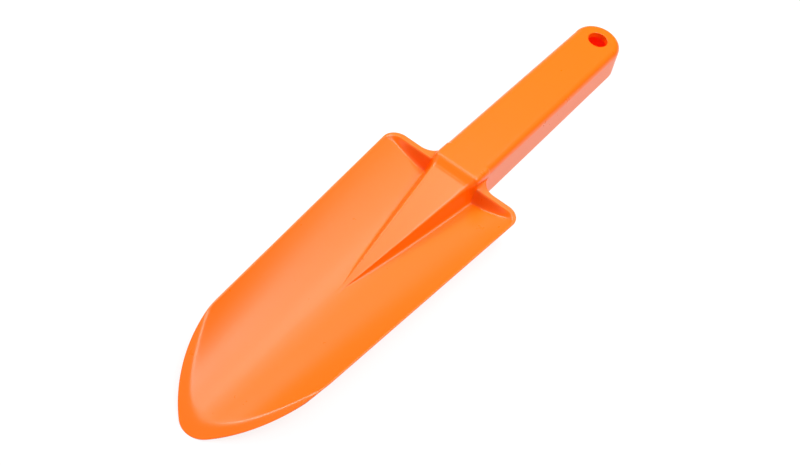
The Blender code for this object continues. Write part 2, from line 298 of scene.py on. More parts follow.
@dataclass(frozen=True)
class Stem:
    """The handle, the step down from its top, and the wedge that runs out on the floor."""

    scoop: Scoop
    end_x: float = -140.0 * MM
    front_height: float = 16.7 * MM
    end_height: float = 13.7 * MM
    half_width: float = 10.9 * MM
    end_half_width: float = 10.1 * MM
    draft: float = math.tan(math.radians(1.5))
    edge_radius: float = 3.0 * MM
    end_edge_radius: float = 1.6 * MM
    wall: float = 2.2 * MM
    top_wall: float = 2.6 * MM
    sweep_length: float = 18.0 * MM  # the walls' lower edges rise to the belly over this distance
    hole_radius: float = 4.1 * MM
    hole_x: float = -130.3 * MM
    seam_x: float = -24.5 * MM  # where the handle's solid ends and the wedge's starts
    step_x: float = -24.9 * MM
    step_length: float = 3.9 * MM
    step_drop: float = 2.15 * MM
    step_rounding: float = 0.3  # at the step's top and foot, as a share of its length
    wedge_half_width: float = 8.2 * MM  # of its top, at the step's foot
    wedge_lean: float = math.tan(math.radians(16.0))
    wedge_radius: float = 1.8 * MM
    point_x: float = 46.7 * MM  # where the wedge runs out on the floor
    point_half_width: float = 0.5 * MM
    point_lean: float = math.tan(math.radians(28.0))
    hollow_end_x: float = 31.0 * MM  # where the hollow under the wedge has closed

    @property
    def end_centre_x(self) -> float:
        """Centre of the handle's round end."""
        return self.end_x + self.end_half_width

    def foot_half(self, x: float) -> float:
        """Half-width of the handle at its foot."""
        share = (self.scoop.heel_x - x) / (self.scoop.heel_x - self.end_centre_x)
        return mixed(self.half_width, self.end_half_width, clamped(share))

    def handle_top(self, x: float) -> float:
        """Height of the handle's top."""
        share = (self.seam_x - x) / (self.seam_x - self.end_x)
        return mixed(self.front_height, self.end_height, share)

    def step_share(self, x: float) -> float:
        """How much of the step's drop has been made at one place along the trowel."""
        return eased((x - self.step_x) / self.step_length, self.step_rounding, self.step_rounding)

    def section(self, x: float) -> tuple[float, float, float, float]:
        """The handle's or wedge's cross-section, as if its top edge were sharp.

        Args:
            x: Place along the trowel.

        Returns:
            Top height, half-width at the sharp corner, lean of the sides and top edge radius.
        """
        back = min(x, self.step_x)
        top = self.handle_top(back)
        past_centre = clamped((self.end_centre_x - x) / self.end_half_width)
        edge = mixed(self.edge_radius, self.end_edge_radius, past_centre)
        handle = (top, self.foot_half(back) - top * self.draft, self.draft, edge)
        low = self.front_height - self.step_drop
        foot = (low, self.wedge_half_width, self.wedge_lean, self.wedge_radius)
        narrow = self.wedge_radius * (self.point_half_width / self.wedge_half_width)
        valley = self.scoop.valley(self.point_x)
        point = (valley, self.point_half_width, self.point_lean, narrow)
        stop_x = self.step_x + self.step_length
        along = clamped((x - stop_x) / (self.point_x - stop_x))
        values = [mixed(a, b, self.step_share(x)) for a, b in zip(handle, foot)]
        return tuple(mixed(a, b, along) for a, b in zip(values, point))

    def hollow(self, x: float) -> tuple[float, float, float]:
        """The cross-section of the hollow inside the handle and the wedge.

        Args:
            x: Place along the trowel.

        Returns:
            Ceiling height, half-width there and lean of the sides.
        """
        top, half, lean, _ = self.section(x)
        side_turn = math.atan(lean)
        ceiling = top - mixed(self.top_wall, self.wall, self.step_share(x))
        half_there = half + (top - ceiling) * lean - self.wall / math.cos(side_turn)
        return ceiling, half_there, lean

    def foot(self, x: float) -> float:
        """Height of the handle wall's lower edge, which sweeps up to the blade's belly.

        Args:
            x: Place along the trowel.

        Returns:
            The height.
        """
        back = self.scoop.heel_x - self.sweep_length
        share = clamped((x - back) / (self.seam_x - back))
        return self.scoop.belly(self.scoop.heel_x, self.half_width) * share**2


class Zone(enum.Enum):
    """Which part of the trowel a station crosses."""

    HANDLE = enum.auto()
    BLADE = enum.auto()
    NOSE = enum.auto()


@dataclass(frozen=True)
class Station:
    """One line of the skin, seen from above.

    Attributes:
        zone: The part of the trowel that it crosses.
        start: Its end at the middle of the trowel, or at the hole.
        edge: Its end on the outline.
        out: The direction straight out of the outline there.
    """

    zone: Zone
    start: Vector
    edge: Vector
    out: Vector


@dataclass(frozen=True)
class Grid:
    """Where the skin's stations lie, and how many points each stretch of a station has."""

    end_steps: int = 14  # round the handle's end
    hole_steps: int = 10  # from the end's centre to the front of the hole
    hole_gap: float = 1.2 * MM
    channel: Pair = (-122.8 * MM, -37.0 * MM)
    channel_steps: int = 22
    channel_last: Reals = (-35.4 * MM, -34.3 * MM, -33.75 * MM)
    neck_degrees: Reals = (5.5, 9, 13, 18, 24, 31, 39, 48, 57, 66, 75, 83, 90)
    flange_reach: Pair = (0.8 * MM, 1.1 * MM)  # where the flange's stations start, before its edge
    flange_steps: int = 7
    shoulder_steps: int = 5
    heel: Pair = (-25.75 * MM, -18.0 * MM)
    heel_steps: int = 31
    blade: Pair = (-16.5 * MM, 84.0 * MM)
    blade_steps: int = 42
    nose_sides: Pair = (86.5 * MM, 89.5 * MM)
    nose_middle: Pair = (86.5 * MM, 117.0 * MM)
    nose_spread: float = 0.9
    side_arc_steps: int = 30
    tip_arc_steps: int = 16
    top_runs: Counts = (5, 4, 1)
    top_turns: Counts = (8, 6)
    floor_steps: int = 18
    crease_group: Reals = (-0.5, -0.2, 0.0, 0.2, 0.5)
    crease_steps: int = 7
    rim_runs: Counts = (1, 1, 2, 1)
    rim_turns: Counts = (5, 2, 4)
    belly_steps: int = 16
    under_runs: Counts = (1, 4, 2, 4, 5)
    under_turns: Counts = (4, 4, 4, 4)

    @property
    def wall_steps(self) -> int:
        """Steps down the handle's wall, as many as a line across the blade has in its place.

        Returns:
            The count of steps.
        """
        stem = self.top_runs[1] + self.top_turns[1] + self.under_turns[0] + self.under_runs[1]
        floor = self.floor_steps + len(self.crease_group) + self.crease_steps
        rim = 1 + sum(self.rim_runs) + sum(self.rim_turns)
        return stem + floor + rim + self.belly_steps - 1


@dataclass
class Moulding:
    """The seamless skin: blade, wedge and handle in one closed mesh."""

    scoop: Scoop = field(default_factory=Scoop)
    grid: Grid = field(default_factory=Grid)
    lip: float = 0.45 * MM  # bevel of the hanging hole's two edges
    lip_segments: int = 4
    rim_radius: float = 0.4 * MM
    rim_share: float = 0.42  # of the sheet's thickness, at most
    rim_gap: float = 0.05 * MM  # the rim's first point lies this far past its radius
    face_radius: float = 0.4 * MM  # between the upright and the leaning part of the edge
    face_share: float = 0.45  # of the sheet's thickness, for the upright part
    under_gap: float = 0.35 * MM  # the same for its last point
    cove_radius: float = 1.1 * MM  # where the stem's side meets the floor
    under_cove_radius: float = 0.9 * MM
    tight_radius: float = 0.3  # of the room beside the stem, for the rim
    tight_cove: float = 0.35  # the same for the coves
    tight_gap: float = 0.05
    tight_setback: float = 0.1
    foot_radius: float = 0.5 * MM
    hollow_radius: float = 0.8 * MM
    least_foot: float = 0.8 * MM  # thickness of the wall's lower edge
    flush_rise: float = 1.2 * MM  # the wall's foot spreads where it stands out less than this
    flush_spread: float = 0.6 * MM
    closing: float = 4.0 * MM  # the hollow under the wedge closes over this distance
    closing_rounding: float = 0.2
    closed_half: float = 0.8 * MM
    apron: float = 2.6 * MM  # past the stem's side, the line keeps close to it this far
    under_apron: float = 2.0 * MM
    fade: float = 25.0 * MM  # past the wedge, the close part spreads over this distance
    point_apron: float = 0.75 * MM
    fade_shares: Reals = (0.0, 0.55, 0.8, 1.3)
    under_places: Reals = (3.2, 2.6, 2.1, 1.5, 0.8, 0.0)  # in millimetres
    under_spread: float = 1.6
    crease_reach: float = 0.9 * MM  # half the width of the close group on the bevel's crease
    crease_share: float = 0.8
    crease_gap: float = 1.0 * MM  # what lies between that group and the rim at least
    crease_gap_share: float = 0.25
    rim_rounds: int = 3  # how often each fit is repeated until it settles
    wall_rounds: int = 6
    cove_rounds: int = 12
    crease_rounds: int = 40
    name: str = "trowel_skin"

    def __post_init__(self) -> None:
        """Add the stem, which stands on this scoop."""
        self.stem = Stem(self.scoop)

    def handle_stations(self) -> list[Station]:
        """Stations round the handle's end, past the hole and along the handle.

        Returns:
            The stations, in order towards the nose.
        """
        stem, grid = self.stem, self.grid
        centre = on_middle(stem.end_centre_x)
        gap = centre.x - stem.hole_x
        found = []
        for turn in even(math.pi, math.pi / 2, grid.end_steps):
            out = facing(turn)
            reach = -gap * out.x + math.sqrt(max(stem.hole_radius**2 - (gap * out.y) ** 2, 0.0))
            edge = centre + out * stem.end_half_width
            found.append(Station(Zone.HANDLE, centre + out * reach, edge, out))
        first = math.atan2(found[-1].start.y, found[-1].start.x - stem.hole_x)
        past_hole = stem.hole_x + stem.hole_radius + grid.hole_gap
        for share in even(0.0, 1.0, grid.hole_steps)[1:]:
            turn = mixed(first, 0.0, share)
            start_x = stem.hole_x + stem.hole_radius * math.cos(turn)
            start = Vector((start_x, stem.hole_radius * math.sin(turn)))
            found.append(self.crossing(mixed(stem.end_centre_x, past_hole, share), start))
        places = (*even(*grid.channel, grid.channel_steps), *grid.channel_last)
        return found + [self.crossing(x) for x in places]

    def crossing(self, x: float, start: Vector | None = None) -> Station:
        """A station straight across the handle.

        Args:
            x: Place along the trowel.
            start: The line's inner end, where that isn't on the middle line.

        Returns:
            The station.
        """
        edge = Vector((x, self.stem.foot_half(x)))
        if start is None:
            start = on_middle(x)
        return Station(Zone.HANDLE, start, edge, Vector((0.0, 1.0)))

    def flange_stations(self) -> list[Station]:
        """Stations that fan out along the neck's fillet, the flange's edge and the shoulder.

        Returns:
            The stations, in order towards the nose.
        """
        scoop, grid = self.scoop, self.grid
        back, radius = scoop.back, scoop.neck_radius
        near, far = grid.flange_reach
        neck = self.stem.foot_half(back - radius) - scoop.rim_height * self.stem.draft
        found = []
        for turn in map(math.radians, grid.neck_degrees):
            edge_x = back - radius + radius * math.sin(turn)
            edge = Vector((edge_x, neck + radius - radius * math.cos(turn)))
            start = on_middle(back - radius + (radius + near) * math.sin(turn))
            out = Vector((-math.sin(turn), math.cos(turn)))
            found.append(Station(Zone.BLADE, start, edge, out))
        centre = self.shoulder_centre()
        starts = even(back + near, back + far, grid.flange_steps + grid.shoulder_steps)[1:]
        for x, y in zip(starts, even(neck + radius, centre.y, grid.flange_steps)[1:]):
            edge = Vector((back, y))
            found.append(Station(Zone.BLADE, on_middle(x), edge, Vector((-1.0, 0.0))))
        last = math.acos((centre.x - starts[-1]) / scoop.shoulder_radius)
        turns = even(0.0, last, grid.shoulder_steps)[1:]
        for x, turn in zip(starts[grid.flange_steps :], turns):
            out = Vector((-math.cos(turn), math.sin(turn)))
            edge = centre + out * scoop.shoulder_radius
            found.append(Station(Zone.BLADE, on_middle(x), edge, out))
        return found

    def side_reach(self, turn: float) -> float:
        """Distance of the straight side's line from the origin, by the direction that it faces."""
        return self.scoop.heel_x * math.cos(turn) + self.scoop.heel_half_width * math.sin(turn)

    def shoulder_centre(self) -> Vector:
        """Centre of the shoulder's arc, which touches the back edge and the straight side.

        Returns:
            The centre, seen from above.
        """
        radius = self.scoop.shoulder_radius
        turn = math.pi / 2 - self.scoop.side_taper
        x = self.scoop.back + radius
        return Vector((x, (self.side_reach(turn) - radius - x * math.cos(turn)) / math.sin(turn)))

    def blade_stations(self) -> list[Station]:
        """Stations straight across the blade, close together over the heel wall and the step.

        Returns:
            The stations, in order towards the nose.
        """
        scoop, grid = self.scoop, self.grid
        centre = self.shoulder_centre()
        found = []
        for x in even(*grid.heel, grid.heel_steps) + even(*grid.blade, grid.blade_steps):
            out = Vector((math.sin(scoop.side_taper), math.cos(scoop.side_taper)))
            y = scoop.side(x)
            if x < centre.x + scoop.shoulder_radius * out.x:
                level = centre.x - x
                y = centre.y + math.sqrt(max(scoop.shoulder_radius**2 - level**2, 0.0))
                out = (Vector((x, y)) - centre).normalized()
            found.append(Station(Zone.BLADE, on_middle(x), Vector((x, y)), out))
        return found

    def nose_stations(self) -> list[Station]:
        """Stations that fan out round the nose, the last one along the centreline.

        Returns:
            The stations, in order towards the nose.
        """
        scoop, grid = self.scoop, self.grid
        wide_radius, tip_radius = scoop.nose_side_radius, scoop.nose_tip_radius
        side_turn = math.pi / 2 - scoop.side_taper
        tip_x = scoop.nose_x - tip_radius
        across = self.side_reach(side_turn) - wide_radius - tip_x * math.cos(side_turn)
        along = math.sqrt((wide_radius - tip_radius) ** 2 - across**2)
        wide_x = tip_x + across * math.cos(side_turn) - along * math.sin(side_turn)
        wide = Vector((wide_x, across * math.sin(side_turn) + along * math.cos(side_turn)))
        touch = math.atan2(-wide.y, tip_x - wide.x)
        edges = [(Vector((x, scoop.side(x))), side_turn) for x in grid.nose_sides]
        for turn in even(side_turn, touch, grid.side_arc_steps):
            out = facing(turn)
            edges.append((wide + wide_radius * out, turn))
        for turn in even(touch, 0.0, grid.tip_arc_steps)[1:]:
            out = facing(turn)
            edges.append((on_middle(tip_x) + tip_radius * out, turn))
        found = []
        for step, (edge, turn) in enumerate(edges):
            share = (step / (len(edges) - 1)) ** grid.nose_spread
            start = on_middle(mixed(*grid.nose_middle, share))
            out = facing(turn)
            found.append(Station(Zone.NOSE, start, edge, out))
        return found

    def room(self, station: Station) -> float:
        """How much of the sheet lies beside the stem at one station.

        Args:
            station: The line's place.

        Returns:
            The width that is left.
        """
        x = min(station.start.x, self.stem.point_x)
        top, half, lean, _ = self.stem.section(x)
        return station.edge.y - half - (top - self.scoop.rim_height) * lean

    def setback(self, room: float) -> float:
        """The shortest run that an arc takes, less where the sheet beside the stem is narrow."""
        return min(LEAST_SETBACK, self.tight_setback * room)

    def rim(self, station: Station) -> list[Vector]:
        """The edge of the sheet at one station, from its upper face round to its lower face.

        Args:
            station: The line's place.

        Returns:
            The points in space.
        """
        scoop, edge, out = self.scoop, station.edge, station.out
        room = self.room(station) if station.zone is Zone.BLADE else 1.0
        high = scoop.top(edge.x, edge.y)
        low = scoop.under(edge.x, edge.y)
        on_neck = edge.x < scoop.back - MICRON
        splay = (high - low) * self.stem.draft * out.y if on_neck else 0.0
        lean = 0.0
        for _ in range(self.rim_rounds):
            upright = scoop.rim_height - scoop.edge_face - low
            allowed = scoop.side(edge.x) - upright * scoop.edge_lean
            lean = max(edge.y - allowed, 0.0) * max(out.y, 0.0) - splay
            place = edge - out * lean
            low = scoop.under(place.x, place.y)
        thick = high - low
        radius = min(self.rim_radius, self.rim_share * thick, self.tight_radius * room)
        tight = self.tight_gap * room
        inner = edge - out * (radius + min(self.rim_gap, tight))
        under = edge - out * (lean + radius + min(self.under_gap, tight))
        points = [
            ((inner - edge).dot(out), scoop.top(inner.x, inner.y)),
            (0.0, high),
            (0.0, high - min(scoop.edge_face, self.face_share * thick)),
            (-lean, low),
            ((under - edge).dot(out), scoop.under(under.x, under.y)),
        ]
        radii = (radius, self.face_radius, radius)
        grid = self.grid
        line = rounded_line(points, radii, grid.rim_runs, grid.rim_turns, self.setback(room))
        return [Vector((*(edge + out * away), z)) for away, z in line]

    def stem_top(self, station: Station) -> list[Pair]:
        """From the middle of the top, over the edge and down the side to the cove on the sheet.

        Args:
            station: The line's place.

        Returns:
            Points by their distance along the station's line and their height.
        """
        x = station.start.x
        scoop, stem, grid = self.scoop, self.stem, self.grid
        if x > stem.point_x:
            grown = clamped((x - stem.point_x) / self.fade)
            reach = mixed(self.point_apron, self.apron, grown)
            line = [(share * reach, 0.0) for share in self.fade_shares]
            flat = rounded_line(line, (0.0, 0.0), grid.top_runs, grid.top_turns)[:-1]
            return [(away, self.height_along(station, away, scoop.top)) for away, _ in flat]
        top, half, lean, radius = stem.section(x)
        away = half
        for _ in range(self.cove_rounds):
            away = half + (top - scoop.top(x, away)) * lean
        beyond = away + self.apron
        room = self.room(station)
        radii = (radius, min(self.cove_radius, self.tight_cove * room))
        sheet = [(reach, scoop.top(x, reach)) for reach in (away, beyond)]
        corners = [(0.0, top), (half, top), *sheet]
        return rounded_line(corners, radii, grid.top_runs, grid.top_turns, self.setback(room))[:-1]

    def height_along(self, station: Station, away: float, surface: Surface) -> float:
        """Height of a surface at a distance along the station's line."""
        place = station.start + (station.edge - station.start).normalized() * away
        return surface(place.x, place.y)

    def lower_side(self, x: float, z: float) -> float:
        """Half-width of the stem's side at a height under the sheet."""
        top, half, lean, _ = self.stem.section(x)
        return half + (top - z) * lean

    def stem_under(self, station: Station) -> list[Pair]:
        """From the cove under the sheet, down the wall, round its foot and into the hollow.

        Args:
            station: The line's place.

        Returns:
            Points by their distance along the station's line and their height.
        """
        x = station.start.x
        scoop, stem, grid = self.scoop, self.stem, self.grid
        ceiling, half, lean = stem.hollow(x)
        closing = clamped((x - stem.hollow_end_x + self.closing) / self.closing)
        if closing >= 1.0:
            grown = clamped((x - stem.hollow_end_x) / self.fade)
            spread = self.under_spread
            reach = [mixed(place, spread * place, grown) * MM for place in self.under_places]
            flat = [(away, 0.0) for away in reach]
            line = rounded_line(flat, (0.0,) * 4, grid.under_runs, grid.under_turns)[2:]
            return [(away, self.height_along(station, away, scoop.under)) for away, _ in line]
        outer_foot = self.lower_side(x, stem.foot(x))
        for _ in range(self.wall_rounds):
            foot = self.foot_height(x, outer_foot)
            outer_foot = self.lower_side(x, foot)
        inner = outer_foot
        for _ in range(self.cove_rounds):
            inner = half + (ceiling - self.foot_height(x, inner)) * lean
        inner = min(inner, outer_foot - self.least_foot)
        root = outer_foot
        for _ in range(self.wall_rounds):
            root = self.lower_side(x, scoop.under(x, root))
        rise = scoop.under(x, root) - foot
        root += self.flush_spread * clamped(1 - rise / self.flush_rise)
        closed = eased(closing, self.closing_rounding, self.closing_rounding)
        ceiling = mixed(ceiling, scoop.belly(x, 0.0), closed)
        half = mixed(half, self.closed_half, closing)
        beyond = root + self.under_apron
        corners = [
            (beyond, scoop.under(x, beyond)),
            (root, scoop.under(x, root)),
            (outer_foot, self.foot_height(x, outer_foot)),
            (inner, self.foot_height(x, inner)),
            (half, ceiling),
            (0.0, ceiling),
        ]
        room = self.room(station)
        cove = min(self.under_cove_radius, self.tight_cove * room)
        radii = (cove, self.foot_radius, self.foot_radius, self.hollow_radius)
        least = self.setback(room)
        return rounded_line(corners, radii, grid.under_runs, grid.under_turns, least)[2:]

    def foot_height(self, x: float, y: float) -> float:
        """Height of the wall's lower edge behind the seam, and of the blade's belly ahead of it.

        Args:
            x: Place along the trowel.
            y: Place across it.

        Returns:
            The height.
        """
        if x <= self.stem.seam_x:
            return self.stem.foot(x)
        return self.scoop.belly(x, y)

    def sheet_line(
        self, start: Vector, stop: Vector, surface: Surface, shares: Iterable[float]
    ) -> list[Vector]:
        """Points on one of the sheet's faces, above a straight line between two points."""
        places = [start.lerp(stop, share) for share in shares]
        return [Vector((place.x, place.y, surface(place.x, place.y))) for place in places]

    def floor_shares(self, start: Vector, stop: Vector) -> list[float]:
        """How points are shared out on the floor, with a close group on the nose bevel's crease.

        Args:
            start: The floor's inner end.
            stop: Its outer end.

        Returns:
            Shares of the way between those two.
        """
        scoop, grid = self.scoop, self.grid
        length = (stop - start).xy.length

        def above(share: float) -> float:
            """How far the floor is over the bevel's plane."""
            place = start.lerp(stop, share)
            return scoop.floor(place.x, place.y) - scoop.bevel(place.x)

        crease = 1.0
        if above(1.0) > 0:
            low, high = 0.0, 1.0
            for _ in range(self.crease_rounds):
                middle = (low + high) / 2
                low, high = (low, middle) if above(middle) > 0 else (middle, high)
            crease = high
        crease = min(crease, 1 - min(self.crease_gap / length, self.crease_gap_share))
        near = min(self.crease_reach / length, self.crease_share * (1 - crease))
        before = even(0.0, crease - near, grid.floor_steps)[1:]
        group = [crease + near * offset for offset in grid.crease_group]
        return before + group + even(crease + near, 1.0, grid.crease_steps)[:-1]

    def blade_line(self, station: Station) -> list[Vector]:
        """One whole line of the skin where there is a sheet beside the stem.

        Args:
            station: The line's place.

        Returns:
            The points in space, from the middle of the top to the middle underneath.
        """
        way = (station.edge - station.start).normalized()
        ahead = way if station.zone is Zone.NOSE else Vector((0.0, 1.0))

        def placed(line: Sequence[Pair]) -> list[Vector]:
            """The section's points in space."""
            return [Vector((*(station.start + ahead * away), z)) for away, z in line]

        top = placed(self.stem_top(station))
        under = placed(self.stem_under(station))
        rim = self.rim(station)
        shares = self.floor_shares(top[-1], rim[0])
        floor = self.sheet_line(top[-1], rim[0], self.scoop.top, shares)
        shares = even(0.0, 1.0, self.grid.belly_steps)[1:-1]
        belly = self.sheet_line(rim[-1], under[0], self.scoop.under, shares)
        return top + floor + rim + belly + under

    def handle_line(self, station: Station) -> list[Vector]:
        """One whole line of the skin across the handle's channel.

        Args:
            station: The line's place.

        Returns:
            The points in space, from the middle of the top to the middle underneath.
        """
        stem, grid = self.stem, self.grid
        reach = (station.edge - station.start).length
        way = (station.edge - station.start) / reach
        slope = (stem.front_height - stem.end_height) / (stem.seam_x - stem.end_x)
        top = stem.handle_top(station.edge.x)
        ceiling = top - stem.top_wall
        foot = stem.foot(station.edge.x)
        inner = reach - stem.wall
        corners = [
            (0.0, top),
            (reach - top * stem.draft, top),
            (reach - foot * stem.draft, foot),
            (inner - foot * stem.draft, foot),
            (inner - ceiling * stem.draft, ceiling),
            (0.0, ceiling),
        ]
        radii = (stem.edge_radius, self.foot_radius, self.foot_radius, self.hollow_radius)
        runs = (grid.top_runs[0], grid.wall_steps, *grid.under_runs[2:])
        turns = (grid.top_turns[0], *grid.under_turns[1:])
        found = []
        for away, z in rounded_line(corners, radii, runs, turns):
            place = station.start + way * away
            high = clamped((z - foot) / (ceiling - foot))
            tilt = slope * (place.x - station.edge.x) * high
            found.append(Vector((place.x, place.y, z + tilt)))
        return found

    def lines(self) -> list[list[Vector]]:
        """Every line of the half skin, from the handle's end to the nose.

        Returns:
            The lines, each a list of points in space.
        """
        found = [self.handle_line(station) for station in self.handle_stations()]
        rest = self.flange_stations() + self.blade_stations() + self.nose_stations()
        return found + [self.blade_line(station) for station in rest]

    def build(self) -> bpy.types.Object:
        """Lay the half skin on a grid, mirror it, and close the hanging hole's wall.

        Returns:
            The finished piece.
        """
        lines = self.lines()
        rows, columns = len(lines), len(lines[0])
        LOG.info("skin: %d stations of %d points", rows, columns)
        bm = bmesh.new()
        bmesh.ops.create_grid(bm, x_segments=columns - 1, y_segments=rows - 1, size=1.0)
        bm.verts.ensure_lookup_table()
        for vert in bm.verts:
            row, column = divmod(vert.index, columns)
            vert.co = lines[row][column]
        for vert in bm.verts:
            if abs(vert.co.y) < MICRON:
                vert.co.y = 0.0
        bmesh.ops.remove_doubles(bm, verts=bm.verts, dist=2 * MICRON)
        whole = bm.verts[:] + bm.edges[:] + bm.faces[:]
        bmesh.ops.mirror(bm, geom=whole, matrix=Matrix.Identity(4), merge_dist=MICRON, axis="Y")
        bmesh.ops.remove_doubles(bm, verts=bm.verts, dist=MICRON)
        bmesh.ops.recalc_face_normals(bm, faces=bm.faces)
        self.open_hole(bm)
        bmesh.ops.recalc_face_normals(bm, faces=bm.faces)
        piece = finished(bm, self.name)
        even_shading(piece)
        return piece

    def open_hole(self, bm: bmesh.types.BMesh) -> None:
        """Bridge the hanging hole's two round edges, and round both lips.

        Args:
            bm: The whole skin.
        """
        loose = [edge for edge in bm.edges if edge.is_boundary]
        bmesh.ops.bridge_loops(bm, edges=loose)
        bmesh.ops.recalc_face_normals(bm, faces=bm.faces)
        rounded_edges(bm, [edge for edge in loose if edge.is_valid], self.lip, self.lip_segments)


def rounded_edges(
    bm: bmesh.types.BMesh, edges: list[bmesh.types.BMEdge], radius: float, segments: int
) -> None:
    """Round some edges of a mesh.

    Args:
        bm: The mesh.
        edges: The edges, all in that mesh.
        radius: How far the rounding reaches from an edge.
        segments: Steps across the rounding.
    """
    bmesh.ops.bevel(
        bm,
        geom=edges,
        offset=radius,
        offset_type="OFFSET",
        segments=segments,
        profile=0.5,
        affect="EDGES",
        material=-1,
        clamp_overlap=True,
    )


def finished(bm: bmesh.types.BMesh, name: str) -> bpy.types.Object:
    """Turn a bmesh into a smooth object in the scene, and free it.

    Args:
        bm: The mesh.
        name: The object's name.

    Returns:
        The object.
    """
    mesh = bpy.data.meshes.new(name)
    bm.to_mesh(mesh)
    bm.free()
    mesh.shade_smooth()
    piece = bpy.data.objects.new(name, mesh)
    bpy.context.scene.collection.objects.link(piece)
    return piece


def even_shading(piece: bpy.types.Object) -> None:
    """Let the large faces set the normals, so that flats stay flat beside rounded edges.

    Args:
        piece: The piece that gets the modifier.
    """
    modifier = piece.modifiers.new("even_shading", "WEIGHTED_NORMAL")
    modifier.mode = "FACE_AREA"
    modifier.weight = 50
    modifier.keep_sharp = False


@dataclass
class ChannelRibs:
    """The cross ribs that keep the channel's walls apart, under the handle."""

    moulding: Moulding
    first: float = 28.0 * MM
    pitch: float = 27.0 * MM
    count: int = 3
    thickness: float = 1.6 * MM
    depth: float = 8.0 * MM
    sunk: float = 0.6 * MM  # how far they reach into the channel's walls and ceiling
    edge_radius: float = 0.35 * MM
    edge_segments: int = 4
    name: str = "channel_ribs"

    def build(self) -> bpy.types.Object:
        """Make each rib from a cube, with its sides on the channel's drafted walls.

        Returns:
            The finished piece.
        """
        stem = self.moulding.stem
        bm = bmesh.new()
        for number in range(self.count):
            x = stem.scoop.heel_x - self.first - number * self.pitch
            ceiling = stem.handle_top(x) - stem.top_wall
            made = bmesh.ops.create_cube(bm, size=1.0)["verts"]
            for vert in made:
                high = vert.co.z > 0
                z = ceiling + self.sunk if high else ceiling - self.depth
                half = stem.foot_half(x) - z * stem.draft - stem.wall + self.sunk
                side = math.copysign(half, vert.co.y)
                vert.co = Vector((x + vert.co.x * self.thickness, side, z))
            lower = []
            for edge in {edge for vert in made for edge in vert.link_edges}:
                first, second = (vert.co for vert in edge.verts)
                if max(first.z, second.z) < ceiling and abs(first.y - second.y) > MM:
                    lower.append(edge)
            rounded_edges(bm, lower, self.edge_radius, self.edge_segments)
        bmesh.ops.recalc_face_normals(bm, faces=bm.faces)
        piece = finished(bm, self.name)
        even_shading(piece)
        return piece


class Wire:
    """A shader value, on which Python's operators lay Math nodes."""

    def __init__(self, graph: "Graph", socket: bpy.types.NodeSocket) -> None:
        """Keep the socket and the graph that it belongs to."""
        self.graph = graph
        self.socket = socket

    def __add__(self, other: "Wire | float") -> "Wire":
        """Sum."""
        return self.graph.maths("ADD", self, other)

    def __mul__(self, other: "Wire | float") -> "Wire":
        """Product."""
        return self.graph.maths("MULTIPLY", self, other)

    __radd__ = __add__
    __rmul__ = __mul__


class Graph:
    """The nodes of one material."""

    def __init__(self, name: str) -> None:
        """Start a material with only its output.

        Args:
            name: The material's name.
        """
        self.material = bpy.data.materials.new(name)
        self.material.use_nodes = True
        self.tree = self.material.node_tree
        self.tree.nodes.clear()

    def node(
        self, kind: str, settings: dict[str, object] | None = None, **sockets: object
    ) -> bpy.types.Node:
        """Add a node.

        Args:
            kind: Blender's name for the node's type.
            settings: Attributes that are set before the sockets.
            sockets: Values or wires for its inputs, by name with underscores for spaces, or by
                index as in i0.

        Returns:
            The node.
        """
        made = self.tree.nodes.new(kind)
        for key, value in (settings or {}).items():
            setattr(made, key, value)
        for key, value in sockets.items():
            numbered = key[0] == "i" and key[1:].isdigit()
            socket = made.inputs[int(key[1:])] if numbered else made.inputs[key.replace("_", " ")]
            if isinstance(value, Wire):
                self.tree.links.new(value.socket, socket)
            else:
                socket.default_value = value
        return made

    def wire(self, made: bpy.types.Node, output: str | int = 0) -> Wire:
        """One of a node's outputs."""
        return Wire(self, made.outputs[output])

    def maths(self, operation: str, first: Wire | float, second: Wire | float) -> Wire:
        """A Math node on two values."""
        return self.wire(self.node("ShaderNodeMath", {"operation": operation}, i0=first, i1=second))

    def noise(self, scale: float, detail: float, roughness: float = 0.5) -> Wire:
        """Noise in the object's own metres, from 0 to 1.

        Args:
            scale: How many of its features lie in a metre.
            detail: How many finer layers it has.
            roughness: How strong each finer layer is beside the one before.

        Returns:
            The noise.
        """
        place = self.wire(self.node("ShaderNodeTexCoord"), "Object")
        sockets = {"Vector": place, "Scale": scale, "Detail": detail, "Roughness": roughness}
        return self.wire(self.node("ShaderNodeTexNoise", **sockets), "Fac")

    def blended(self, share: Wire, first: Sequence[float], second: Sequence[float]) -> Wire:
        """A colour between two, by a share.

        Args:
            share: How much of the second colour shows.
            first: The first colour.
            second: The second colour.

        Returns:
            The colour.
        """
        settings = {"data_type": "RGBA"}
        made = self.node("ShaderNodeMix", settings, i0=share, i6=(*first, 1.0), i7=(*second, 1.0))
        return self.wire(made, 2)

    def finish(self, shader: bpy.types.Node) -> bpy.types.Material:
        """Send a shader to the material's surface.

        Args:
            shader: The node.

        Returns:
            The material.
        """
        output = self.node("ShaderNodeOutputMaterial")
        self.tree.links.new(shader.outputs["BSDF"], output.inputs["Surface"])
        return self.material


